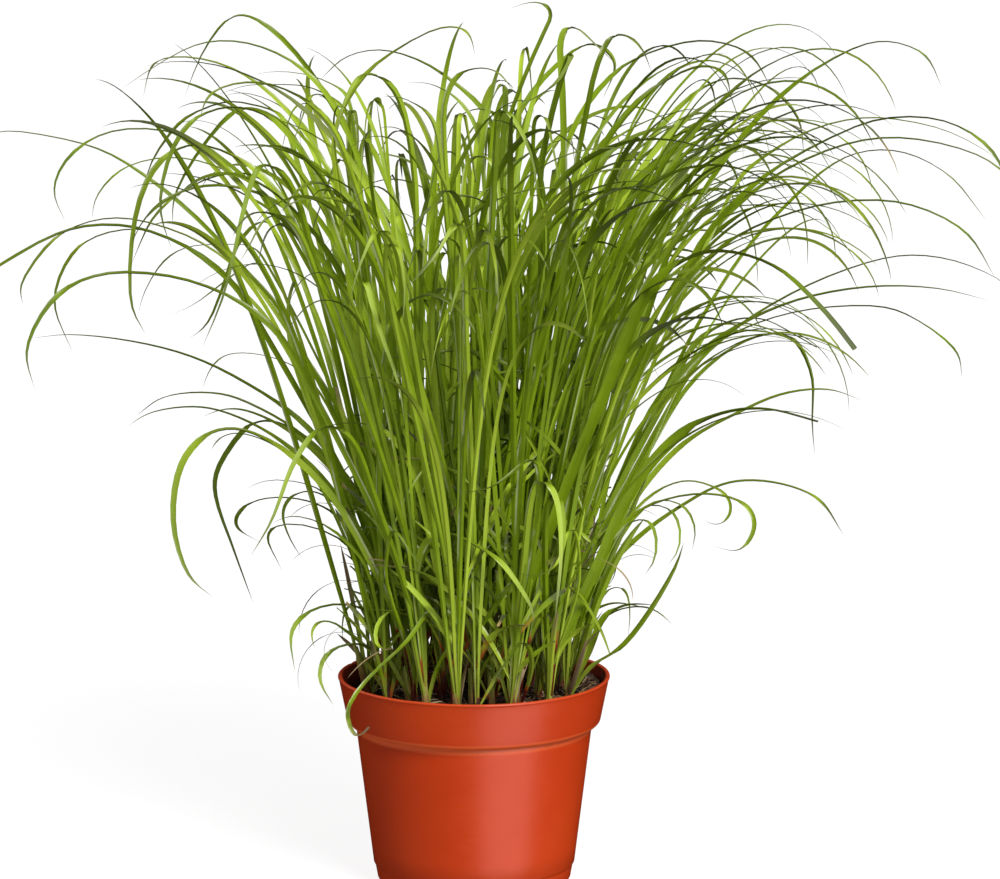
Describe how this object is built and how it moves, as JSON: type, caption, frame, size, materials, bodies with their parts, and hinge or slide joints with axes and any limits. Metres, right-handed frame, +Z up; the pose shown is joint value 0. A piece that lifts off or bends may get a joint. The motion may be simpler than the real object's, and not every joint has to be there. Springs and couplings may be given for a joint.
{
  "type": "potted cyperus",
  "caption": "Tuft of narrow arching sedge leaves growing from peat soil in a round tapered plastic nursery pot with a deep collar",
  "frame": {"origin": "centre of the pot's foot, on the surface that it stands on", "axes": "+Z up along the pot's axis, the pictured side faces -Y, +X to the right in the picture"},
  "size_m": [0.4799, 0.452, 0.3866],
  "materials": {
    "pot_plastic": "satin moulded orange-red plastic",
    "peat_soil": "moist dark peat with pale root fibres",
    "leaf": "satin green leaf, reddish at the sheath and darker at the tip"
  },
  "bodies": {
    "root": {"pot": "pot_plastic", "soil": "peat_soil", "shoot_01": "leaf", "shoot_02": "leaf", "shoot_03": "leaf", "shoot_04": "leaf", "shoot_05": "leaf", "shoot_06": "leaf", "shoot_07": "leaf", "shoot_08": "leaf", "shoot_09": "leaf", "shoot_10": "leaf", "shoot_11": "leaf", "shoot_12": "leaf", "shoot_13": "leaf", "shoot_14": "leaf", "shoot_15": "leaf", "shoot_16": "leaf", "shoot_17": "leaf", "shoot_18": "leaf", "shoot_19": "leaf", "shoot_20": "leaf", "shoot_21": "leaf", "shoot_22": "leaf", "shoot_23": "leaf", "shoot_24": "leaf", "shoot_25": "leaf", "shoot_26": "leaf", "shoot_27": "leaf", "shoot_28": "leaf", "shoot_29": "leaf", "shoot_30": "leaf", "shoot_31": "leaf", "shoot_32": "leaf", "shoot_33": "leaf", "shoot_34": "leaf", "shoot_35": "leaf", "shoot_36": "leaf", "shoot_37": "leaf", "shoot_38": "leaf", "shoot_39": "leaf", "shoot_40": "leaf", "shoot_41": "leaf", "shoot_42": "leaf", "shoot_43": "leaf", "shoot_44": "leaf"}
  },
  "joints": []
}
